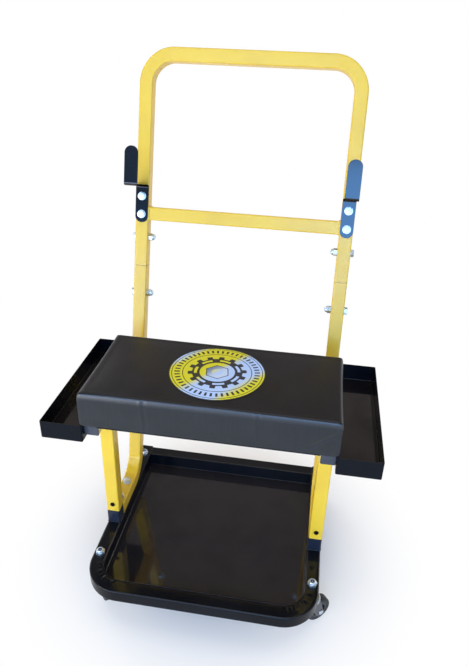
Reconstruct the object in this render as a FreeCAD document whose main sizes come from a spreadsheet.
import FreeCAD, Part
import math
import operator
import os

import Sketcher
from FreeCAD import Placement, Rotation, Vector

# A rolling creeper seat with a push handle. A bent square-tube base runs on four swivel
# casters and holds a parts tray. Two short legs and two leaning rear posts carry a pair of
# seat rails with a padded seat and a tray on each side. A bolted-on hoop makes the handle,
# with a cross bar and two flat hooks.
# Frame: millimetres, X to the right, Y to the back, Z up, origin on the floor under the middle.

SIZES = [
    ("tube", 25, "side of the square frame tube"),
    ("tube_wall", 1.5, "wall of the frame tube"),
    ("tube_corner", 2.5, "outer corner radius of the tube's section"),
    ("bend_radius", 52.5, "centre-line radius of the tube bends"),
    ("overrun", 6, "how far a cut runs past what it cuts"),

    ("frame_width", 420, "width over the base frame, legs and handle"),
    ("base_length", 394, "length of the base frame from front to back"),
    ("base_front", 266.25, "distance from the origin forward to the base frame's front face"),

    ("cap_plate", 2.5, "thickness of an end cap's face"),
    ("cap_plug", 12, "length of an end cap's plug"),
    ("plug_clearance", 0.2, "gap round a plug, spigot or sleeve inside a tube"),

    ("tray_sheet", 1.2, "sheet thickness of the trays"),
    ("tray_bend", 2.4, "outer radius of the trays' folded edges"),
    ("tray_drop", 4, "how far the bottom tray hangs below the base rails"),
    ("side_tray_width", 73.6, "outside width of a side tray"),
    ("side_tray_length", 291, "outside length of a side tray"),
    ("side_tray_height", 34, "outside height of a side tray"),
    ("side_tray_drop", 0.3, "how far a side tray's rim lies below the seat rail's top"),
    ("side_tray_bolt_inset", 70, "from a side tray's front end to its first bolt"),
    ("side_tray_bolt_gap", 50.4, "from a side tray's second bolt back to the rear post"),

    ("socket_height", 30, "height of the black stub that takes a front leg"),
    ("leg_setback", 156, "from the base frame's front face back to the legs' front face"),
    ("leg_length", 233.5, "length of a front leg"),
    ("spigot_rise", 35, "how far the leg spigot reaches up into the leg"),
    ("leg_screw_height", 17, "leg screw above the leg's lower end"),
    ("leg_screw_diameter", 5, "shank of the leg screw"),
    ("leg_screw_length", 12, "shank length of the leg screw"),
    ("leg_screw_head", 9, "head diameter of the leg screw"),
    ("leg_screw_head_height", 2.8, "head height of the leg screw"),
    ("leg_screw_socket", 3, "hexagon socket of the leg screw"),

    ("post_setback", 284.1, "from the base front back to where the post's front face meets the rail"),
    ("post_lean_angle", 15, "lean of the rear posts and handle from upright, in degrees"),
    ("splice_height", 464.3, "along the post from the base rail's top to the splice"),
    ("hoop_height", 868.6, "along the post from the base rail's top to the hoop's top"),
    ("cross_bar_rise", 114.5, "along the handle from the splice to the cross bar's top"),
    ("sleeve_length", 160, "length of the sleeve inside the splice"),
    ("splice_bolt_reach", 56, "from the splice to each of its bolts"),
    ("foot_bolt_inset", 19, "from the front end of a post's foot to its first bolt"),
    ("foot_bolt_pitch", 45, "distance between a foot's two bolts"),

    ("bolt_diameter", 8, "shank of the frame bolts"),
    ("bolt_clearance", 0.25, "radial gap between a bolt and its hole"),
    ("bolt_head_across", 13, "across the flats of the frame bolts and nuts"),
    ("bolt_head_height", 5.3, "head height of the frame bolts"),
    ("bolt_washer", 1.2, "height of the round face under a bolt head"),
    ("bolt_washer_diameter", 16, "diameter of the round face under a bolt head"),
    ("nut_height", 6.8, "height of a plain frame nut"),
    ("dome_nut_height", 7.5, "height of a dome nut's hexagon"),
    ("thread_end", 3, "how far a bolt stands past its nut"),
    ("dome_thread", 5.5, "how far a bolt reaches into its dome nut"),

    ("hook_width", 25, "width of a hook's flat bar"),
    ("hook_thickness", 3, "thickness of a hook's flat bar"),
    ("hook_bend", 2.5, "inner bend radius of a hook"),
    ("hook_gap", 4.7, "along the handle from the splice sleeve's top to a hook's lower end"),
    ("hook_plate", 71.5, "length of a hook's bolted plate"),
    ("hook_reach", 78, "how far a hook stands forward of the handle"),
    ("hook_finger", 66.5, "height of a hook's finger above its arm"),
    ("hook_bolt_inset", 16, "from a hook's lower end to its first bolt"),
    ("hook_bolt_pitch", 34, "distance between a hook's two bolts"),
    ("hook_end_share", 0.98, "rounding of a hook's ends as a share of half its width"),

    ("seat_rail_setback", 96.5, "from the base front back to the seat rails' front end"),
    ("cross_tube_inset", 36, "from the seat rails' front end to the first seat cross tube"),
    ("cross_tube_pitch", 118, "distance between the two seat cross tubes"),
    ("cushion_overhang", 5, "how far the cushion overhangs the frame on each side"),
    ("cushion_nose", 13.2, "how far the cushion stands forward of the seat rails"),
    ("cushion_depth", 207.7, "cushion size from front to back"),
    ("cushion_thickness", 64, "cushion height at its rim"),
    ("cushion_crown", 4, "rise of the cushion's middle above its rim"),
    ("cushion_corner", 12, "corner radius of the cushion in plan"),
    ("cushion_roll", 9, "how far the cushion's upper rim is rounded in"),
    ("cushion_drawn", 2, "how far the cushion's sides are drawn in at mid-length"),
    ("cover_width", 3, "width of the cover beside the seat board"),
    ("soft_gap", 0.3, "gap between the cushion and what it rests on"),
    ("board_thickness", 12, "thickness of the seat board"),
    ("board_corner", 6, "corner radius of the seat board"),

    ("seat_bolt_diameter", 6, "shank of the bolts under the seat and in the side trays"),
    ("seat_bolt_head", 10, "across the flats of the seat bolts and nuts"),
    ("seat_bolt_head_height", 4, "head height of the seat bolts"),
    ("seat_bolt_inset", 80, "from the seat cross tubes' ends to their bolts"),
    ("tee_nut_barrel", 8, "outer diameter of a tee nut's barrel"),
    ("tee_nut_flange", 19, "flange diameter of a tee nut"),
    ("tee_nut_flange_height", 1.4, "flange thickness of a tee nut"),
    ("tee_nut_gap", 0.25, "gap round a tee nut in the board"),
    ("button_head", 10.5, "head diameter of the side tray bolts"),
    ("button_head_height", 3.3, "head height of the side tray bolts"),
    ("button_socket", 4, "hexagon socket of the side tray bolts"),
    ("small_nut_height", 5, "height of the side tray nuts"),

    ("wheel_diameter", 50, "caster wheel over its tyre"),
    ("tyre_width", 18, "width of a caster's tyre"),
    ("tyre_depth", 8, "radial thickness of a caster's tyre"),
    ("tyre_round", 4, "rounding of the tyre's shoulders"),
    ("rim_inset", 0.4, "how far the rim stands inside the tyre's side"),
    ("rim_depth", 4, "radial thickness of the wheel's rim"),
    ("web_thickness", 6, "thickness of the wheel's web"),
    ("boss_diameter", 13, "diameter of the wheel's boss"),
    ("boss_gap", 0.4, "gap between the wheel's boss and each fork leg"),
    ("axle_diameter", 6, "diameter of the wheel axle"),
    ("axle_clearance", 0.05, "radial running gap of the wheel on its axle and the fork on its pin"),
    ("axle_head", 10, "diameter of the axle's heads"),
    ("axle_head_height", 2, "height of each axle head"),
    ("fork_inside", 22, "gap between a fork's legs"),
    ("fork_sheet", 2.5, "thickness of a fork's legs"),
    ("fork_boss", 8, "half the width of a fork leg at the axle"),
    ("fork_round_share", 0.9, "rounding of a fork leg's lower end as a share of its half width"),
    ("fork_shoulder_share", 0.8, "half the width of a fork leg at the crown as a share of the crown's radius"),
    ("crown_diameter", 34, "diameter of a fork's crown"),
    ("crown_height", 5.5, "height of a fork's crown"),
    ("crown_chamfer", 1.5, "chamfer under the crown's edge"),
    ("wheel_headroom", 5.7, "gap between the wheel's top and the crown"),
    ("bearing_gap", 0.3, "gap of the swivel bearing"),
    ("cup_height", 4.5, "height of the fixed bearing cup"),
    ("cup_diameter", 36, "diameter of the fixed bearing cup"),
    ("collar_height", 6, "height of the stem's collar under the rail"),
    ("collar_diameter", 22, "diameter of the stem's collar"),
    ("pin_diameter", 8, "diameter of the swivel pin"),
    ("pin_head", 13, "diameter of the swivel pin's head"),
    ("pin_head_height", 2.6, "height of the swivel pin's head"),
    ("caster_trail", 18, "from the swivel axis to the wheel axle"),
    ("stem_diameter", 9.5, "diameter of the threaded stem"),
    ("stem_clearance", 0.25, "radial gap between a stem and its hole"),
    ("stem_recess", 1.6, "how far the stem's end lies below the top of its nut"),
    ("flange_diameter", 20, "flange diameter of a caster nut"),
    ("flange_height", 1.8, "flange thickness of a caster nut"),
    ("caster_nut_across", 14.3, "across the flats of a caster nut"),
    ("caster_nut_height", 8.5, "height of a caster nut without its collar"),
    ("nut_collar_diameter", 12.6, "diameter of a caster nut's locking collar"),
    ("nut_collar_height", 1.6, "height of a caster nut's locking collar"),
    ("front_stem_inset", 78, "from the base frame's front face back to the front stems"),
    ("rear_stem_inset", 27, "from the base frame's rear end forward to the rear stems"),
    ("turn_angle_front_left", -55, "direction in which the front left caster trails, in degrees from +X"),
    ("turn_angle_front_right", 40, "direction in which the front right caster trails"),
    ("turn_angle_rear_left", 105, "direction in which the rear left caster trails"),
    ("turn_angle_rear_right", 75, "direction in which the rear right caster trails"),
]

SIDES = {"left": -1, "right": 1}

doc = FreeCAD.newDocument("creeper_seat")
sheet = doc.addObject("Spreadsheet::Sheet", "sizes")
for row, (alias, amount, meaning) in enumerate(SIZES, start=1):
    sheet.set("A%d" % row, meaning)
    sheet.set("B%d" % row, str(amount))
    sheet.setAlias("B%d" % row, alias)
doc.recompute()


class Size:
    """A size worked out from the sheet: the text of its expression and its value now."""

    def __init__(self, text, value):
        self.text = text
        self.value = value

    def __add__(self, other):
        return combined(self, "+", other)

    def __radd__(self, other):
        return combined(other, "+", self)

    def __sub__(self, other):
        return combined(self, "-", other)

    def __rsub__(self, other):
        return combined(other, "-", self)

    def __mul__(self, other):
        return combined(self, "*", other)

    def __rmul__(self, other):
        return combined(other, "*", self)

    def __truediv__(self, other):
        return combined(self, "/", other)

    def __neg__(self):
        return combined(-1, "*", self)


SIGNS = {"+": operator.add, "-": operator.sub, "*": operator.mul, "/": operator.truediv}


def as_size(amount):
    """A plain number as a Size, and a Size as it is."""
    return amount if isinstance(amount, Size) else Size(repr(amount), amount)


def combined(left, sign, right):
    """Two sizes joined by a sign."""
    left = as_size(left)
    right = as_size(right)
    return Size("(%s %s %s)" % (left.text, sign, right.text), SIGNS[sign](left.value, right.value))


def sine(angle):
    return Size("sin(%s)" % angle.text, math.sin(math.radians(angle.value)))


def cosine(angle):
    return Size("cos(%s)" % angle.text, math.cos(math.radians(angle.value)))


def tangent(angle):
    return Size("tan(%s)" % angle.text, math.tan(math.radians(angle.value)))


class Sheet:
    """The sheet's cells by name, as sizes."""


cells = Sheet()
for alias, amount, meaning in SIZES:
    setattr(cells, alias, Size("sizes.%s" % alias, float(sheet.get(alias))))


# Places and sizes worked out from the sheet

half_width = cells.frame_width / 2
rail_x = half_width - cells.tube / 2
inner_x = half_width - cells.tube
bore_side = cells.tube - 2 * cells.tube_wall
sleeve_side = bore_side - 2 * cells.plug_clearance
sleeve_corner = cells.tube_corner - cells.tube_wall
inside_bend = cells.bend_radius - cells.tube / 2

axle_height = cells.wheel_diameter / 2
crown_low = cells.wheel_diameter + cells.wheel_headroom
crown_top = crown_low + cells.crown_height
cup_low = crown_top + cells.bearing_gap
cup_top = cup_low + cells.cup_height
rail_low = cup_top + cells.collar_height
rail_mid = rail_low + cells.tube / 2
rail_top = rail_low + cells.tube

base_front_y = -cells.base_front
base_rear_y = base_front_y + cells.base_length
front_stem_y = base_front_y + cells.front_stem_inset
rear_stem_y = base_rear_y - cells.rear_stem_inset

leg_front_y = base_front_y + cells.leg_setback
foot_front_y = leg_front_y + cells.tube
leg_low = rail_top + cells.socket_height
seat_rail_low = leg_low + cells.leg_length
seat_rail_mid = seat_rail_low + cells.tube / 2
seat_rail_top = seat_rail_low + cells.tube
leg_screw_z = leg_low + cells.leg_screw_height

post_face_y = base_front_y + cells.post_setback
lean_sine = sine(cells.post_lean_angle)
lean_cosine = cosine(cells.post_lean_angle)
lean_tangent = tangent(cells.post_lean_angle)

seat_rail_front_y = base_front_y + cells.seat_rail_setback
cross_tube_ys = {
    "front": seat_rail_front_y + cells.cross_tube_inset,
    "rear": seat_rail_front_y + cells.cross_tube_inset + cells.cross_tube_pitch,
}
seat_bolt_x = inner_x - cells.seat_bolt_inset
cushion_front_y = seat_rail_front_y - cells.cushion_nose
cushion_half_width = half_width + cells.cushion_overhang
side_tray_low = seat_rail_top - cells.side_tray_drop - cells.side_tray_height
side_tray_bolt_ys = [
    cushion_front_y + cells.side_tray_bolt_inset,
    post_face_y + (seat_rail_low - rail_top) * lean_tangent - cells.side_tray_bolt_gap,
]
cross_bar_top = cells.splice_height + cells.cross_bar_rise
hook_low = cells.splice_height + cells.sleeve_length / 2 + cells.hook_gap

bolt_hole = cells.bolt_diameter + 2 * cells.bolt_clearance
seat_bolt_hole = cells.seat_bolt_diameter + 2 * cells.bolt_clearance
leg_screw_hole = cells.leg_screw_diameter + 2 * cells.bolt_clearance
stem_hole = cells.stem_diameter + 2 * cells.stem_clearance

CASTERS = {
    "front_left": (-rail_x, front_stem_y, cells.turn_angle_front_left),
    "front_right": (rail_x, front_stem_y, cells.turn_angle_front_right),
    "rear_left": (-rail_x, rear_stem_y, cells.turn_angle_rear_left),
    "rear_right": (rail_x, rear_stem_y, cells.turn_angle_rear_right),
}

X_AXIS = Vector(1, 0, 0)
Y_AXIS = Vector(0, 1, 0)
Z_AXIS = Vector(0, 0, 1)
UPRIGHT = Rotation()
FACING = {
    "+X": Rotation(Y_AXIS, 90),
    "-X": Rotation(Y_AXIS, -90),
    "+Y": Rotation(X_AXIS, -90),
    "-Y": Rotation(X_AXIS, 90),
    "+Z": UPRIGHT,
    "-Z": Rotation(X_AXIS, 180),
}

nodes = []


def bind(thing, **amounts):
    """Tie properties to the sheet; a double underscore in a name stands for a dot."""
    for name, amount in amounts.items():
        thing.setExpression(name.replace("__", "."), as_size(amount).text)


def place(thing, x=0, y=0, z=0, rotation=UPRIGHT):
    """Put a piece at a point worked out from the sheet, in a fixed rotation."""
    thing.Placement = Placement(Vector(), rotation)
    bind(thing, Placement__Base__x=x, Placement__Base__y=y, Placement__Base__z=z)
    return thing


def place_turned(thing, axis, angle, x=0, y=0, z=0):
    """Put a piece at a point, turned about an axis by an angle from the sheet."""
    place(thing, x, y, z, Rotation(axis, 1))
    bind(thing, Placement__Rotation__Angle=angle)
    return thing


def place_leaning(thing, along=0, x=0):
    """Put a piece on the leaning posts: its Z runs up the post and its Y = 0 is their front face."""
    along = as_size(along)
    return place_turned(thing, X_AXIS, -cells.post_lean_angle, x,
                        post_face_y + along * lean_sine, rail_top + along * lean_cosine)


def keep(thing, label):
    """Name a finished sub-part and list it for writing."""
    thing.Label = label
    nodes.append(thing)
    return thing


def group(label, pieces):
    """Separate solids that share one name."""
    compound = doc.addObject("Part::Compound", label)
    compound.Links = pieces
    return keep(compound, label)


class Drawing:
    """A sketch on one of a body's origin planes, with each point tied to the sheet."""

    def __init__(self, body, plane):
        self.sketch = body.newObject("Sketcher::SketchObject", "sketch")
        origin = next(part for part in body.Origin.OriginFeatures if part.Role == plane)
        self.sketch.AttachmentSupport = [(origin, "")]
        self.sketch.MapMode = "FlatFace"

    def rule(self, *parts):
        return self.sketch.addConstraint(Sketcher.Constraint(*parts))

    def measure(self, kind, *parts):
        """A measured constraint; its last part is a Size."""
        amount = as_size(parts[-1])
        index = self.rule(kind, *parts[:-1], amount.value)
        self.sketch.setExpression("Constraints[%d]" % index, amount.text)

    def fix(self, geometry, point, x, y):
        self.measure("DistanceX", -1, 1, geometry, point, x)
        self.measure("DistanceY", -1, 1, geometry, point, y)

    def circle(self, x, y, diameter):
        middle = Vector(as_size(x).value, as_size(y).value, 0)
        ring = self.sketch.addGeometry(Part.Circle(middle, Z_AXIS, as_size(diameter).value / 2))
        self.fix(ring, 3, x, y)
        self.measure("Diameter", ring, diameter)

    def run(self, corners, closed=True):
        """Straight lines from corner to corner, with an arc where a corner gives a radius."""
        count = len(corners)
        points = [Vector(as_size(c[0]).value, as_size(c[1]).value, 0) for c in corners]
        spans = count if closed else count - 1
        ways = [(points[(i + 1) % count] - points[i]).normalize() for i in range(spans)]
        round_at = [len(c) > 2 and (closed or 0 < i < count - 1) for i, c in enumerate(corners)]
        trims = [0.0] * count
        for i in range(count):
            if round_at[i]:
                turn = ways[i - 1].getAngle(ways[i])
                trims[i] = as_size(corners[i][2]).value * math.tan(turn / 2)
        lines = []
        for i in range(spans):
            start = points[i] + ways[i] * trims[i]
            end = points[(i + 1) % count] - ways[i] * trims[(i + 1) % count]
            lines.append(self.sketch.addGeometry(Part.LineSegment(start, end)))
        for i in range(count):
            x, y = corners[i][:2]
            if not closed and i == 0:
                self.fix(lines[0], 1, x, y)
            elif not closed and i == count - 1:
                self.fix(lines[-1], 2, x, y)
            elif round_at[i]:
                self.round_corner(points[i], corners[i], ways[i - 1], ways[i], trims[i],
                                  lines[i - 1], lines[i])
            else:
                self.rule("Coincident", lines[i - 1], 2, lines[i], 1)
                self.fix(lines[i], 1, x, y)
        return self

    def round_corner(self, point, corner, way_in, way_out, trim, line_in, line_out):
        """An arc tangent to both lines, with a construction point where they would meet."""
        x, y, radius = corner
        amount = as_size(radius).value
        left_turn = way_in.cross(way_out).z > 0
        side = Vector(-way_in.y, way_in.x, 0) * (1 if left_turn else -1)
        start = point - way_in * trim
        end = point + way_out * trim
        middle = start + side * amount
        first, last = (start, end) if left_turn else (end, start)
        angles = [math.atan2(p.y - middle.y, p.x - middle.x) for p in (first, last)]
        arc = self.sketch.addGeometry(
            Part.ArcOfCircle(Part.Circle(middle, Z_AXIS, amount), angles[0], angles[1]))
        meets = self.sketch.addGeometry(Part.Point(point), True)
        self.rule("Tangent", line_in, 2, arc, 1 if left_turn else 2)
        self.rule("Tangent", arc, 2 if left_turn else 1, line_out, 1)
        self.measure("Radius", arc, radius)
        self.fix(meets, 1, x, y)
        self.rule("PointOnObject", meets, 1, line_in)
        self.rule("PointOnObject", meets, 1, line_out)

    def box(self, x0, y0, x1, y1, radius=None):
        """A rectangle, with rounded corners if a radius is given."""
        ends = () if radius is None else (radius,)
        return self.run([(x0, y0) + ends, (x1, y0) + ends, (x1, y1) + ends, (x0, y1) + ends])

    def square(self, x, y, side, radius):
        """A rounded square about a middle point."""
        return self.box(x - side / 2, y - side / 2, x + side / 2, y + side / 2, radius)


def new_body(name):
    body = doc.addObject("PartDesign::Body", name)
    body.Label = name
    return body


def pad(body, drawing, length, middle=False, backwards=False):
    feature = body.newObject("PartDesign::Pad", "pad")
    feature.Profile = drawing.sketch
    feature.SideType = "Symmetric" if middle else "One side"
    feature.Reversed = backwards
    bind(feature, Length=length)
    return feature


def cut_through(body, drawing, length=None):
    """Cut both ways from the sketch, through everything or over one length in all."""
    feature = body.newObject("PartDesign::Pocket", "cut")
    feature.Profile = drawing.sketch
    feature.SideType = "Symmetric"
    if length is None:
        feature.Type = "ThroughAll"
    else:
        bind(feature, Length=length)
    return feature


def drill(body, plane, places, diameter, length=None):
    """Round holes square to one of the body's planes, cut both ways from it."""
    drawing = Drawing(body, plane)
    for x, y in places:
        drawing.circle(x, y, diameter)
    return cut_through(body, drawing, length)


def revolve(body, drawing):
    """Turn a half outline once round the sketch's upright axis."""
    feature = body.newObject("PartDesign::Revolution", "turned")
    feature.Profile = drawing.sketch
    feature.ReferenceAxis = (drawing.sketch, ["V_Axis"])
    feature.Angle = 360
    return feature


def sweep(body, profile, spine):
    """Carry a tube's section along its bent centre line."""
    feature = body.newObject("PartDesign::AdditivePipe", "bent")
    feature.Profile = profile.sketch
    edges = len([g for g in spine.sketch.Geometry if g.TypeId != "Part::GeomPoint"])
    feature.Spine = (spine.sketch, ["Edge%d" % (i + 1) for i in range(edges)])
    return feature


def round_edges(body, feature, radius, wanted):
    """Fillet the feature's edges that a test picks."""
    doc.recompute()
    names = ["Edge%d" % (i + 1) for i, edge in enumerate(feature.Shape.Edges) if wanted(edge)]
    fillet = body.newObject("PartDesign::Fillet", "rounding")
    fillet.Base = (feature, names)
    bind(fillet, Radius=radius)
    return fillet


def tube_section(body, plane, x, y):
    """The hollow square section of the frame tube about a middle point."""
    drawing = Drawing(body, plane)
    drawing.square(x, y, cells.tube, cells.tube_corner)
    drawing.square(x, y, bore_side, sleeve_corner)
    return drawing


def sleeve_section(body, plane, x, y):
    """The hollow square section that slides inside the frame tube."""
    drawing = Drawing(body, plane)
    drawing.square(x, y, sleeve_side, sleeve_corner)
    drawing.square(x, y, sleeve_side - 2 * cells.tube_wall, sleeve_corner / 2)
    return drawing


# Fasteners: each is made standing on its seat, with Z pointing away from what it clamps

def solid(kind, label, z=0, **amounts):
    """A primitive on the Z axis."""
    thing = doc.addObject(kind, label)
    bind(thing, **amounts)
    return place(thing, z=z)


def cylinder(label, diameter, height, z=0):
    return solid("Part::Cylinder", label, z, Radius=diameter / 2, Height=height)


def hexagon(label, across, height, z=0):
    prism = solid("Part::Prism", label, z, Circumradius=across / math.sqrt(3), Height=height)
    prism.Polygon = 6
    return prism


def fused(label, pieces):
    union = doc.addObject("Part::MultiFuse", label)
    union.Shapes = pieces
    union.Refine = True
    return union


def less(label, base, tool):
    cut = doc.addObject("Part::Cut", label)
    cut.Base = base
    cut.Tool = tool
    return cut


def hex_bolt(label, diameter, across, head, length, washer=0, washer_diameter=0):
    """A bolt whose shank runs down from the underside of its head."""
    pieces = [
        cylinder(label + "_shank", diameter, length + washer, -length),
        hexagon(label + "_head", across, head, washer),
    ]
    if isinstance(washer, Size):
        pieces.append(cylinder(label + "_face", washer_diameter, washer))
    return fused(label, pieces)


def frame_bolt(label, grip):
    """A frame bolt that clamps a given thickness and ends a little past its nut."""
    return hex_bolt(label, cells.bolt_diameter, cells.bolt_head_across, cells.bolt_head_height,
                    grip, cells.bolt_washer, cells.bolt_washer_diameter)


def hex_nut(label, diameter, across, height):
    return less(label, hexagon(label + "_blank", across, height),
                cylinder(label + "_bore", diameter, height))


def dome_nut(label):
    """A nut closed by a dome, with a blind bore for the bolt's end."""
    dome = solid("Part::Sphere", label + "_dome", cells.dome_nut_height,
                 Radius=cells.bolt_head_across / 2 - cells.bolt_clearance)
    dome.Angle1 = 0
    body = fused(label + "_blank",
                 [hexagon(label + "_hexagon", cells.bolt_head_across, cells.dome_nut_height), dome])
    return less(label, body, cylinder(label + "_bore", cells.bolt_diameter, cells.dome_thread))


def button_screw(label, diameter, head, head_height, socket, length):
    """A low domed head with a hexagon socket."""
    cap = solid("Part::Cone", label + "_cap", Radius1=head / 2, Radius2=head / 3, Height=head_height)
    shank = cylinder(label + "_shank", diameter, length, -length)
    recess = hexagon(label + "_socket", socket, head_height / 2, head_height / 2)
    return less(label, fused(label + "_blank", [cap, shank]), recess)


def caster_nut(label):
    """A flanged lock nut with a round collar on top."""
    collar_z = cells.caster_nut_height
    blank = fused(label + "_blank", [
        cylinder(label + "_flange", cells.flange_diameter, cells.flange_height),
        hexagon(label + "_hexagon", cells.caster_nut_across, cells.caster_nut_height),
        cylinder(label + "_collar", cells.nut_collar_diameter, cells.nut_collar_height, collar_z),
    ])
    bore = cylinder(label + "_bore", cells.stem_diameter,
                    cells.caster_nut_height + cells.nut_collar_height)
    return less(label, blank, bore)


# Base: bent frame, rear cross tube, end caps, tray

def make_base_frame():
    """The U of bent tube: its local Y = 0 is the open rear end, and Z = 0 the tube's middle."""
    body = new_body("base_frame")
    front = cells.tube / 2 - cells.base_length
    profile = tube_section(body, "XZ_Plane", -rail_x, as_size(0))
    spine = Drawing(body, "XY_Plane").run([
        (-rail_x, as_size(0)), (-rail_x, front, cells.bend_radius),
        (rail_x, front, cells.bend_radius), (rail_x, as_size(0))], closed=False)
    sweep(body, profile, spine)
    stems = [(side * rail_x, y - base_rear_y) for side in SIDES.values() for y in (front_stem_y, rear_stem_y)]
    drill(body, "XY_Plane", stems, stem_hole)
    bolts = [(side * rail_x, y - base_rear_y) for side in SIDES.values() for y in foot_bolt_ys()]
    drill(body, "XY_Plane", bolts, bolt_hole)
    return keep(place(body, 0, base_rear_y, rail_mid), "base_frame")


def foot_bolt_ys():
    first = foot_front_y + cells.foot_bolt_inset
    return [first, first + cells.foot_bolt_pitch]


def make_rear_cross_tube():
    """The tube that closes the base frame at the back, between the side rails."""
    body = new_body("rear_cross_tube")
    pad(body, tube_section(body, "YZ_Plane", as_size(0), as_size(0)), 2 * inner_x, middle=True)
    return keep(place(body, 0, base_rear_y - cells.tube / 2, rail_mid), "rear_cross_tube")


def end_cap(name, rotation, x, y, z):
    """A cap with its face outside a tube and a plug inside; the tube's end is at its Z = 0."""
    body = new_body(name)
    face = Drawing(body, "XY_Plane").square(as_size(0), as_size(0), cells.tube, cells.tube_corner)
    pad(body, face, cells.cap_plate)
    plug = Drawing(body, "XY_Plane").square(as_size(0), as_size(0), sleeve_side, sleeve_corner)
    pad(body, plug, cells.cap_plug, backwards=True)
    return place(body, x, y, z, rotation)


def make_end_caps():
    group("base_end_caps", [
        end_cap("base_cap_" + name, FACING["+Y"], side * rail_x, base_rear_y, rail_mid)
        for name, side in SIDES.items()])
    group("seat_rail_caps", [
        end_cap("seat_rail_cap_" + name, FACING["-Y"], side * rail_x, seat_rail_front_y, seat_rail_mid)
        for name, side in SIDES.items()])


def make_pan(body, x0, y0, x1, y1, height, front_corner, rear_corner):
    """A folded tray: walls all round, rounded upright corners and rounded lower edges."""
    sheet_size = cells.tray_sheet
    outside = Drawing(body, "XY_Plane").run([
        (x0, y0, front_corner), (x1, y0, front_corner), (x1, y1, rear_corner), (x0, y1, rear_corner)])
    block = pad(body, outside, height)
    low_edges = lambda edge: max(v.Z for v in edge.Vertexes) < sheet_size.value / 2
    round_edges(body, block, cells.tray_bend, low_edges)
    inner_front = front_corner - sheet_size
    inner_rear = rear_corner - sheet_size
    inside = Drawing(body, "XY_Plane").run([
        (x0 + sheet_size, y0 + sheet_size, inner_front), (x1 - sheet_size, y0 + sheet_size, inner_front),
        (x1 - sheet_size, y1 - sheet_size, inner_rear), (x0 + sheet_size, y1 - sheet_size, inner_rear)])
    bind(inside.sketch, AttachmentOffset__Base__z=sheet_size)
    hollow = body.newObject("PartDesign::Pocket", "hollow")
    hollow.Profile = inside.sketch
    hollow.Reversed = True
    hollow.Type = "ThroughAll"
    floor_edges = lambda edge: (
        sheet_size.value / 2 < edge.BoundBox.ZMin and edge.BoundBox.ZMax < sheet_size.value * 3 / 2
        and edge.BoundBox.XMin > (x0 + sheet_size / 2).value
        and edge.BoundBox.XMax < (x1 - sheet_size / 2).value
        and edge.BoundBox.YMin > (y0 + sheet_size / 2).value
        and edge.BoundBox.YMax < (y1 - sheet_size / 2).value)
    return round_edges(body, hollow, cells.tray_bend - sheet_size, floor_edges)


def make_bottom_tray():
    """The pan inside the base frame, tacked to its rails, with its rim level with their tops."""
    body = new_body("bottom_tray")
    make_pan(body, -inner_x, base_front_y + cells.tube, inner_x, base_rear_y - cells.tube,
             cells.tube + cells.tray_drop, inside_bend, cells.tube_corner)
    return keep(place(body, z=rail_low - cells.tray_drop), "bottom_tray")


# Front legs and rear posts

def make_leg(name, side):
    """A black stub on the rail, a spigot in it, and the leg that stands on the stub."""
    middle_y = leg_front_y + cells.tube / 2
    stub = new_body("leg_socket_" + name)
    pad(stub, tube_section(stub, "XY_Plane", as_size(0), as_size(0)), cells.socket_height)
    keep(place(stub, side * rail_x, middle_y, rail_top), "leg_socket_" + name)

    spigot = new_body("leg_spigot_" + name)
    pad(spigot, sleeve_section(spigot, "XY_Plane", as_size(0), as_size(0)),
        cells.socket_height + cells.spigot_rise)
    drill_front(spigot, cells.socket_height + cells.leg_screw_height, leg_screw_hole)
    keep(place(spigot, side * rail_x, middle_y, rail_top), "leg_spigot_" + name)

    leg = new_body("front_leg_" + name)
    pad(leg, tube_section(leg, "XY_Plane", as_size(0), as_size(0)), cells.leg_length)
    drill_front(leg, cells.leg_screw_height, leg_screw_hole)
    keep(place(leg, side * rail_x, middle_y, leg_low), "front_leg_" + name)


def drill_front(body, height, diameter):
    """One hole through the front wall only of a tube whose middle is on the Z axis."""
    hole = Drawing(body, "XZ_Plane")
    hole.circle(as_size(0), height, diameter)
    feature = body.newObject("PartDesign::Pocket", "front_hole")
    feature.Profile = hole.sketch
    feature.Reversed = True
    feature.Type = "ThroughAll"
    return feature


def make_leg_screws():
    screws = []
    for name, side in SIDES.items():
        screw = button_screw("leg_screw_" + name, cells.leg_screw_diameter, cells.leg_screw_head,
                             cells.leg_screw_head_height, cells.leg_screw_socket, cells.leg_screw_length)
        screws.append(place(screw, side * rail_x, leg_front_y, leg_screw_z, FACING["-Y"]))
    return group("leg_screws", screws)


def make_rear_post(name, side):
    """A foot along the rail that bends up into the leaning post; local Y = 0 is the foot's front."""
    body = new_body("rear_post_" + name)
    half = cells.tube / 2
    rise = half * (1 + lean_sine) / lean_cosine
    knee_y = post_face_y + rise * lean_sine + half * lean_cosine - foot_front_y
    top_y = post_face_y + cells.splice_height * lean_sine + half * lean_cosine - foot_front_y
    top_z = cells.splice_height * lean_cosine - half * lean_sine - half
    profile = tube_section(body, "XZ_Plane", as_size(0), as_size(0))
    spine = Drawing(body, "YZ_Plane").run([
        (as_size(0), as_size(0)), (knee_y, as_size(0), cells.bend_radius), (top_y, top_z)], closed=False)
    sweep(body, profile, spine)
    drill(body, "XY_Plane", [(as_size(0), y - foot_front_y) for y in foot_bolt_ys()], bolt_hole,
          2 * cells.tube)
    reach = cells.splice_bolt_reach
    drill(body, "YZ_Plane", [(top_y - reach * lean_sine, top_z - reach * lean_cosine)], bolt_hole)
    return keep(place(body, side * rail_x, foot_front_y, rail_top + half), "rear_post_" + name)


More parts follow.
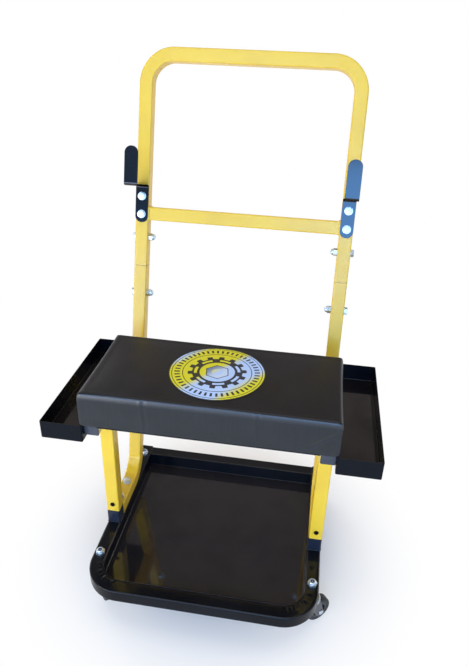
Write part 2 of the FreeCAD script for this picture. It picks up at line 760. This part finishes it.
def make_foot_bolts():
    """Bolts down through each post's foot and the rail below it."""
    grip = 2 * cells.tube
    bolts = []
    nuts = []
    for name, side in SIDES.items():
        for number, y in enumerate(foot_bolt_ys(), start=1):
            tag = "%s_%d" % (name, number)
            bolt = frame_bolt("foot_bolt_" + tag, grip + cells.nut_height + cells.thread_end)
            bolts.append(place(bolt, side * rail_x, y, rail_top + cells.tube))
            nut = hex_nut("foot_nut_" + tag, cells.bolt_diameter, cells.bolt_head_across, cells.nut_height)
            nuts.append(place(nut, side * rail_x, y, rail_low, FACING["-Z"]))
    group("foot_bolts", bolts)
    group("foot_nuts", nuts)


# Handle: sleeves, hoop, cross bar, hooks

def make_splice_sleeve(name, side):
    """The sleeve inside the joint of post and hoop; its Z = 0 is the splice."""
    body = new_body("splice_sleeve_" + name)
    pad(body, sleeve_section(body, "XY_Plane", as_size(0), cells.tube / 2), cells.sleeve_length, middle=True)
    reach = cells.splice_bolt_reach
    drill(body, "YZ_Plane", [(cells.tube / 2, reach), (cells.tube / 2, -reach)], bolt_hole)
    return keep(place_leaning(body, cells.splice_height, side * rail_x), "splice_sleeve_" + name)


def make_handle_hoop():
    """The upside-down U of the handle; its Z = 0 is the splice."""
    body = new_body("handle_hoop")
    top = cells.hoop_height - cells.splice_height - cells.tube / 2
    profile = tube_section(body, "XY_Plane", -rail_x, cells.tube / 2)
    spine = Drawing(body, "XZ_Plane").run([
        (-rail_x, as_size(0)), (-rail_x, top, cells.bend_radius),
        (rail_x, top, cells.bend_radius), (rail_x, as_size(0))], closed=False)
    sweep(body, profile, spine)
    drill(body, "YZ_Plane", [(cells.tube / 2, cells.splice_bolt_reach)], bolt_hole)
    hooks = [(side * rail_x, along - cells.splice_height)
             for side in SIDES.values() for along in hook_bolt_places()]
    drill(body, "XZ_Plane", hooks, bolt_hole)
    return keep(place_leaning(body, cells.splice_height), "handle_hoop")


def hook_bolt_places():
    first = hook_low + cells.hook_bolt_inset
    return [first, first + cells.hook_bolt_pitch]


def make_cross_bar():
    """The straight tube welded between the hoop's uprights."""
    body = new_body("handle_cross_bar")
    section = tube_section(body, "YZ_Plane", cells.tube / 2, cross_bar_top - cells.tube / 2)
    pad(body, section, 2 * inner_x, middle=True)
    return keep(place_leaning(body), "handle_cross_bar")


def make_splice_bolts():
    """Bolts across the posts: heads outside, dome nuts on the inner faces."""
    bolts = []
    nuts = []
    half = cells.tube / 2
    for name, side in SIDES.items():
        outwards = FACING["+X"] if side > 0 else FACING["-X"]
        inwards = FACING["-X"] if side > 0 else FACING["+X"]
        for number, way in enumerate((-1, 1), start=1):
            tag = "%s_%d" % (name, number)
            along = cells.splice_height + way * cells.splice_bolt_reach
            bolt = frame_bolt("splice_bolt_" + tag, cells.tube + cells.dome_thread)
            bolts.append(place(bolt, side * half_width, half, along, outwards))
            nut = dome_nut("splice_nut_" + tag)
            nuts.append(place(nut, side * inner_x, half, along, inwards))
    place_leaning(group("splice_bolts", bolts))
    place_leaning(group("splice_nuts", nuts))


def make_hook(name, side):
    """A flat bar with two bends: a bolted plate, an arm forward and a finger up."""
    body = new_body("hook_" + name)
    thick = cells.hook_thickness
    inner = cells.hook_bend
    outer = cells.hook_bend + thick
    plate_top = hook_low + cells.hook_plate
    finger_top = plate_top + cells.hook_finger
    reach = -cells.hook_reach
    outline = Drawing(body, "YZ_Plane").run([
        (as_size(0), hook_low), (as_size(0), plate_top, outer),
        (reach + thick, plate_top, inner), (reach + thick, finger_top), (reach, finger_top),
        (reach, plate_top - thick, outer), (-thick, plate_top - thick, inner), (-thick, hook_low)])
    bar = pad(body, outline, cells.hook_width, middle=True)
    ends = (hook_low.value, finger_top.value)
    half = cells.hook_width.value / 2
    at_end = lambda edge: (
        edge.BoundBox.ZLength < thick.value / 2 and edge.BoundBox.XLength < thick.value / 2
        and min(abs(edge.BoundBox.ZMax - end) for end in ends) < thick.value / 2
        and abs(edge.BoundBox.XMax) > half / 2)
    round_edges(body, bar, cells.hook_width / 2 * cells.hook_end_share, at_end)
    drill(body, "XZ_Plane", [(as_size(0), along) for along in hook_bolt_places()], bolt_hole,
          2 * (thick + cells.overrun))
    return keep(place_leaning(body, 0, side * rail_x), "hook_" + name)


def make_hook_bolts():
    """Bolts through each hook and the hoop, with nuts behind."""
    bolts = []
    nuts = []
    grip = cells.tube + cells.hook_thickness
    for name, side in SIDES.items():
        for number, along in enumerate(hook_bolt_places(), start=1):
            tag = "%s_%d" % (name, number)
            bolt = frame_bolt("hook_bolt_" + tag, grip + cells.nut_height + cells.thread_end)
            bolts.append(place(bolt, side * rail_x, -cells.hook_thickness, along, FACING["-Y"]))
            nut = hex_nut("hook_nut_" + tag, cells.bolt_diameter, cells.bolt_head_across, cells.nut_height)
            nuts.append(place(nut, side * rail_x, cells.tube, along, FACING["+Y"]))
    place_leaning(group("hook_bolts", bolts))
    place_leaning(group("hook_nuts", nuts))


# Seat: rails, cross tubes, board, cushion and fasteners

def post_face_at(z):
    """How far back the post's front face is at a height."""
    return post_face_y + (z - rail_top) * lean_tangent


def make_seat_rail(name, side):
    """A rail that ends on the leaning face of the rear post; local Y = 0 is its front end."""
    body = new_body("seat_rail_" + name)
    half = cells.tube / 2
    low_end = post_face_at(seat_rail_low) - seat_rail_front_y
    top_end = post_face_at(seat_rail_top) - seat_rail_front_y
    pad(body, tube_section(body, "XZ_Plane", as_size(0), as_size(0)), top_end, backwards=True)
    wedge = Drawing(body, "YZ_Plane").run([(low_end, -half), (top_end, -half), (top_end, half)])
    cut_through(body, wedge)
    bolts = [(y - seat_rail_front_y, as_size(0)) for y in side_tray_bolt_ys]
    drill(body, "YZ_Plane", bolts, seat_bolt_hole)
    return keep(place(body, side * rail_x, seat_rail_front_y, seat_rail_mid), "seat_rail_" + name)


def make_seat_cross_tube(name):
    body = new_body("seat_cross_tube_" + name)
    pad(body, tube_section(body, "YZ_Plane", as_size(0), as_size(0)), 2 * inner_x, middle=True)
    drill(body, "XY_Plane", [(side * seat_bolt_x, as_size(0)) for side in SIDES.values()], seat_bolt_hole)
    return keep(place(body, 0, cross_tube_ys[name], seat_rail_mid), "seat_cross_tube_" + name)


board_x = cushion_half_width - cells.cover_width
board_front_y = cushion_front_y + cells.cover_width
board_rear_y = cushion_front_y + cells.cushion_depth - cells.cover_width


def make_seat_board():
    """The plywood under the cushion, drilled and sunk for the tee nuts."""
    body = new_body("seat_board")
    outline = Drawing(body, "XY_Plane").box(-board_x, board_front_y, board_x, board_rear_y, cells.board_corner)
    pad(body, outline, cells.board_thickness)
    places = [(side * seat_bolt_x, y) for side in SIDES.values() for y in cross_tube_ys.values()]
    drill(body, "XY_Plane", places, cells.tee_nut_barrel + 2 * cells.tee_nut_gap)
    sunk = Drawing(body, "XY_Plane")
    for x, y in places:
        sunk.circle(x, y, cells.tee_nut_flange + 2 * cells.tee_nut_gap)
    bind(sunk.sketch, AttachmentOffset__Base__z=cells.board_thickness - cells.tee_nut_flange_height)
    feature = body.newObject("PartDesign::Pocket", "sunk")
    feature.Profile = sunk.sketch
    feature.Reversed = True
    feature.Type = "ThroughAll"
    return keep(place(body, z=seat_rail_top), "seat_board")


def cushion_ring(half_x, half_y, corner, drawn, z):
    """One level of the cushion: rounded corners joined by sides drawn in at mid-length."""
    sides = []
    for sign_x, sign_y in ((1, 1), (-1, 1), (-1, -1), (1, -1)):
        middle = Vector(sign_x * (half_x - corner), sign_y * (half_y - corner), z)
        on_side = middle + Vector(sign_x * corner, 0, 0)
        on_end = middle + Vector(0, sign_y * corner, 0)
        tip = middle + Vector(sign_x, sign_y, 0).normalize() * corner
        turn = [on_side, tip, on_end]
        sides.append(turn if sign_x * sign_y > 0 else turn[::-1])
    edges = []
    for i, turn in enumerate(sides):
        following = sides[(i + 1) % len(sides)]
        edges.append(Part.Arc(*turn).toShape())
        halfway = (turn[2] + following[0]) / 2
        inwards = Vector(-halfway.x, -halfway.y, 0).normalize() * drawn
        edges.append(Part.Arc(turn[2], halfway + inwards, following[0]).toShape())
    return Part.Wire(edges)


# Levels of the cushion from its foot up: how far in, as shares of the rim's rounding, and how
# high, as shares of the rim height; the last two lie on the crown, in shares of half the depth
# and of the crown's rise
SIDE_LEVEL_SHARES = [(0.15, 0), (0, 0.1), (0, 0.86), (0.14, 0.93), (0.45, 0.97), (1, 1)]
CROWN_LEVEL_SHARES = [(0.35, 0.6), (0.6, 0.9), (0.8, 1)]


def make_seat_cushion():
    """A crowned box cushion, hollow below where its cover wraps the seat board."""
    half_x = cushion_half_width.value
    half_y = cells.cushion_depth.value / 2
    corner = cells.cushion_corner.value
    drawn = cells.cushion_drawn.value
    roll = cells.cushion_roll.value
    rim = cells.cushion_thickness.value - cells.soft_gap.value
    rings = []
    for in_share, up_share in SIDE_LEVEL_SHARES:
        inset = roll * in_share
        rings.append(cushion_ring(half_x - inset, half_y - inset, corner, drawn, rim * up_share))
    for in_share, up_share in CROWN_LEVEL_SHARES:
        inset = roll + (half_y - roll - corner) * in_share
        level = rim + cells.cushion_crown.value * up_share
        rings.append(cushion_ring(half_x - inset, half_y - inset, corner, 0.5 * drawn, level))
    form = doc.addObject("Part::Feature", "cushion_form")
    form.Shape = Part.makeLoft(rings, True, True)
    form.Placement = Placement(
        Vector(0, cushion_front_y.value + half_y, seat_rail_top.value + cells.soft_gap.value), Rotation())
    hollow = doc.addObject("Part::Box", "cushion_hollow")
    gap = cells.soft_gap
    bind(hollow, Length=2 * (board_x + gap), Width=board_rear_y - board_front_y + 2 * gap,
         Height=cells.board_thickness + gap + cells.overrun)
    place(hollow, -board_x - gap, board_front_y - gap, seat_rail_top - cells.overrun)
    return keep(less("seat_cushion", form, hollow), "seat_cushion")


def make_seat_fasteners():
    """Bolts up through the cross tubes into tee nuts sunk in the board."""
    bolts = []
    nuts = []
    grip = cells.tube + cells.board_thickness - cells.tee_nut_flange_height
    barrel = cells.board_thickness - cells.tee_nut_flange_height
    for name, side in SIDES.items():
        for row, y in cross_tube_ys.items():
            tag = "%s_%s" % (row, name)
            bolt = hex_bolt("seat_bolt_" + tag, cells.seat_bolt_diameter, cells.seat_bolt_head,
                            cells.seat_bolt_head_height, grip)
            bolts.append(place(bolt, side * seat_bolt_x, y, seat_rail_low, FACING["-Z"]))
            label = "tee_nut_" + tag
            blank = fused(label + "_blank", [
                cylinder(label + "_barrel", cells.tee_nut_barrel, barrel),
                cylinder(label + "_flange", cells.tee_nut_flange, cells.tee_nut_flange_height, barrel)])
            nut = less(label, blank,
                       cylinder(label + "_bore", cells.seat_bolt_diameter, cells.board_thickness))
            nuts.append(place(nut, side * seat_bolt_x, y, seat_rail_top))
    group("seat_bolts", bolts)
    group("seat_tee_nuts", nuts)


# Side trays

def make_side_tray(name, side):
    """A tray bolted to the outer face of a seat rail."""
    body = new_body("side_tray_" + name)
    near = half_width
    far = half_width + cells.side_tray_width
    x0, x1 = (near, far) if side > 0 else (-far, -near)
    corner = cells.tray_bend
    make_pan(body, x0, cushion_front_y, x1, cushion_front_y + cells.side_tray_length,
             cells.side_tray_height, corner, corner)
    height = seat_rail_mid - side_tray_low
    holes = Drawing(body, "YZ_Plane")
    for y in side_tray_bolt_ys:
        holes.circle(y, height, seat_bolt_hole)
    feature = body.newObject("PartDesign::Pocket", "bolt_holes")
    feature.Profile = holes.sketch
    feature.Reversed = side > 0
    bind(feature, Length=half_width + cells.tray_sheet + cells.overrun)
    return keep(place(body, z=side_tray_low), "side_tray_" + name)


def make_side_tray_bolts():
    """Low-headed bolts from inside each tray through the rail, with nuts on the rail's inner face."""
    bolts = []
    nuts = []
    length = cells.tray_sheet + cells.tube + cells.small_nut_height
    for name, side in SIDES.items():
        outwards = FACING["+X"] if side > 0 else FACING["-X"]
        inwards = FACING["-X"] if side > 0 else FACING["+X"]
        for number, y in enumerate(side_tray_bolt_ys, start=1):
            tag = "%s_%d" % (name, number)
            bolt = button_screw("side_tray_bolt_" + tag, cells.seat_bolt_diameter, cells.button_head,
                                cells.button_head_height, cells.button_socket, length)
            bolts.append(place(bolt, side * (half_width + cells.tray_sheet), y, seat_rail_mid, outwards))
            nut = hex_nut("side_tray_nut_" + tag, cells.seat_bolt_diameter, cells.seat_bolt_head,
                          cells.small_nut_height)
            nuts.append(place(nut, side * inner_x, y, seat_rail_mid, inwards))
    group("side_tray_bolts", bolts)
    group("side_tray_nuts", nuts)


# Casters: each is drawn with its swivel axis on Z and its trail along X

def make_caster_stem(name, x, y):
    """The fixed part: threaded stem, collar, bearing cup and headed swivel pin, all turned."""
    body = new_body("caster_stem_" + name)
    zero = as_size(0)
    stem = cells.stem_diameter / 2
    collar = cells.collar_diameter / 2
    cup = cells.cup_diameter / 2
    pin = cells.pin_diameter / 2
    head = cells.pin_head / 2
    chamfer = cells.crown_chamfer
    head_top = crown_low - cells.bearing_gap
    head_low = head_top - cells.pin_head_height
    stem_top = rail_top + cells.caster_nut_height + cells.nut_collar_height - cells.stem_recess
    outline = Drawing(body, "XZ_Plane").run([
        (zero, head_low), (head, head_low), (head, head_top), (pin, head_top), (pin, cup_low),
        (cup, cup_low), (cup, cup_top - chamfer), (cup - chamfer, cup_top), (collar, cup_top),
        (collar, rail_low), (stem, rail_low), (stem, stem_top), (zero, stem_top)])
    revolve(body, outline)
    return keep(place(body, x, y), "caster_stem_" + name)


def make_caster_fork(name, x, y, turn):
    """Crown and two legs that reach back to the axle."""
    body = new_body("caster_fork_" + name)
    outer = cells.fork_inside + 2 * cells.fork_sheet
    shoulder = cells.crown_diameter / 2 * cells.fork_shoulder_share
    boss = cells.fork_boss
    rounding = boss * cells.fork_round_share
    trail = cells.caster_trail
    legs = Drawing(body, "XZ_Plane").run([
        (-shoulder, crown_top), (trail - boss, axle_height - boss, rounding),
        (trail + boss, axle_height - boss, rounding), (shoulder, crown_top)])
    pad(body, legs, outer, middle=True)
    reach = trail + boss + cells.overrun
    between = Drawing(body, "XZ_Plane").box(-reach, axle_height - boss - cells.overrun, reach, crown_low)
    cut_through(body, between, cells.fork_inside)
    crown = Drawing(body, "XY_Plane")
    crown.circle(as_size(0), as_size(0), cells.crown_diameter)
    bind(crown.sketch, AttachmentOffset__Base__z=crown_low)
    disc = pad(body, crown, cells.crown_height)
    disc.Refine = True
    drill(body, "XY_Plane", [(as_size(0), as_size(0))], cells.pin_diameter + 2 * cells.axle_clearance)
    drill(body, "XZ_Plane", [(trail, axle_height)], cells.axle_diameter)
    return keep(place_turned(body, Z_AXIS, turn, x, y), "caster_fork_" + name)


def place_on_axle(body, x, y, turn):
    """Put a piece whose middle is the axle's middle, with its Y along the axle."""
    trail = cells.caster_trail
    return place_turned(body, Z_AXIS, turn, x + trail * cosine(turn), y + trail * sine(turn), axle_height)


def make_caster_axle(name, x, y, turn):
    """A pin with a low round head outside each fork leg."""
    body = new_body("caster_axle_" + name)
    zero = as_size(0)
    pin = cells.axle_diameter / 2
    head = cells.axle_head / 2
    fork_side = cells.fork_inside / 2 + cells.fork_sheet
    end = fork_side + cells.axle_head_height
    rounding = cells.axle_head_height / 2
    outline = Drawing(body, "XY_Plane").run([
        (zero, -end), (head, -end, rounding), (head, -fork_side), (pin, -fork_side),
        (pin, fork_side), (head, fork_side), (head, end, rounding), (zero, end)])
    revolve(body, outline)
    return keep(place_on_axle(body, x, y, turn), "caster_axle_" + name)


def make_caster_wheel(name, x, y, turn):
    """Hub with rim, web and boss, and the tyre round it."""
    rim_outer = cells.wheel_diameter / 2 - cells.tyre_depth
    rim_inner = rim_outer - cells.rim_depth
    rim_side = cells.tyre_width / 2 - cells.rim_inset
    bore = cells.axle_diameter / 2 + cells.axle_clearance
    boss = cells.boss_diameter / 2
    boss_side = cells.fork_inside / 2 - cells.boss_gap
    web = cells.web_thickness / 2
    half_outline = [(bore, boss_side), (boss, boss_side), (boss, web), (rim_inner, web),
                    (rim_inner, rim_side), (rim_outer, rim_side)]
    hub = new_body("caster_hub_" + name)
    mirrored = [(radius, -along) for radius, along in reversed(half_outline)]
    revolve(hub, Drawing(hub, "XY_Plane").run(half_outline + mirrored))
    keep(place_on_axle(hub, x, y, turn), "caster_hub_" + name)

    tyre = new_body("caster_tyre_" + name)
    side = cells.tyre_width / 2
    outer = cells.wheel_diameter / 2
    shoulder = cells.tyre_round
    revolve(tyre, Drawing(tyre, "XY_Plane").run([
        (rim_outer, -side), (outer, -side, shoulder), (outer, side, shoulder), (rim_outer, side)]))
    keep(place_on_axle(tyre, x, y, turn), "caster_tyre_" + name)


def make_casters():
    nuts = []
    for name, (x, y, turn) in CASTERS.items():
        make_caster_stem(name, x, y)
        make_caster_fork(name, x, y, turn)
        make_caster_axle(name, x, y, turn)
        make_caster_wheel(name, x, y, turn)
        nuts.append(place(caster_nut("caster_nut_" + name), x, y, rail_top))
    group("caster_nuts", nuts)


def check_and_write():
    """Stop on any failed feature or empty shape, and otherwise write one file per sub-part."""
    doc.recompute()
    faults = [thing.Label for thing in doc.Objects if {"Invalid", "Error"} & set(thing.State)]
    faults += [node.Label for node in nodes if node.Shape.isNull() or not node.Shape.isValid()]
    if faults:
        raise RuntimeError("failed: " + ", ".join(faults))
    os.makedirs("parts", exist_ok=True)
    for node in nodes:
        node.Shape.exportStep("parts/%s.step" % node.Label)


make_base_frame()
make_rear_cross_tube()
make_end_caps()
make_bottom_tray()
for side_name, side_sign in SIDES.items():
    make_leg(side_name, side_sign)
    make_rear_post(side_name, side_sign)
    make_splice_sleeve(side_name, side_sign)
    make_hook(side_name, side_sign)
    make_seat_rail(side_name, side_sign)
    make_side_tray(side_name, side_sign)
make_leg_screws()
make_foot_bolts()
make_handle_hoop()
make_cross_bar()
make_splice_bolts()
make_hook_bolts()
for row_name in cross_tube_ys:
    make_seat_cross_tube(row_name)
make_seat_board()
make_seat_cushion()
make_seat_fasteners()
make_side_tray_bolts()
make_casters()
check_and_write()
print("wrote", len(nodes), "sub-parts")
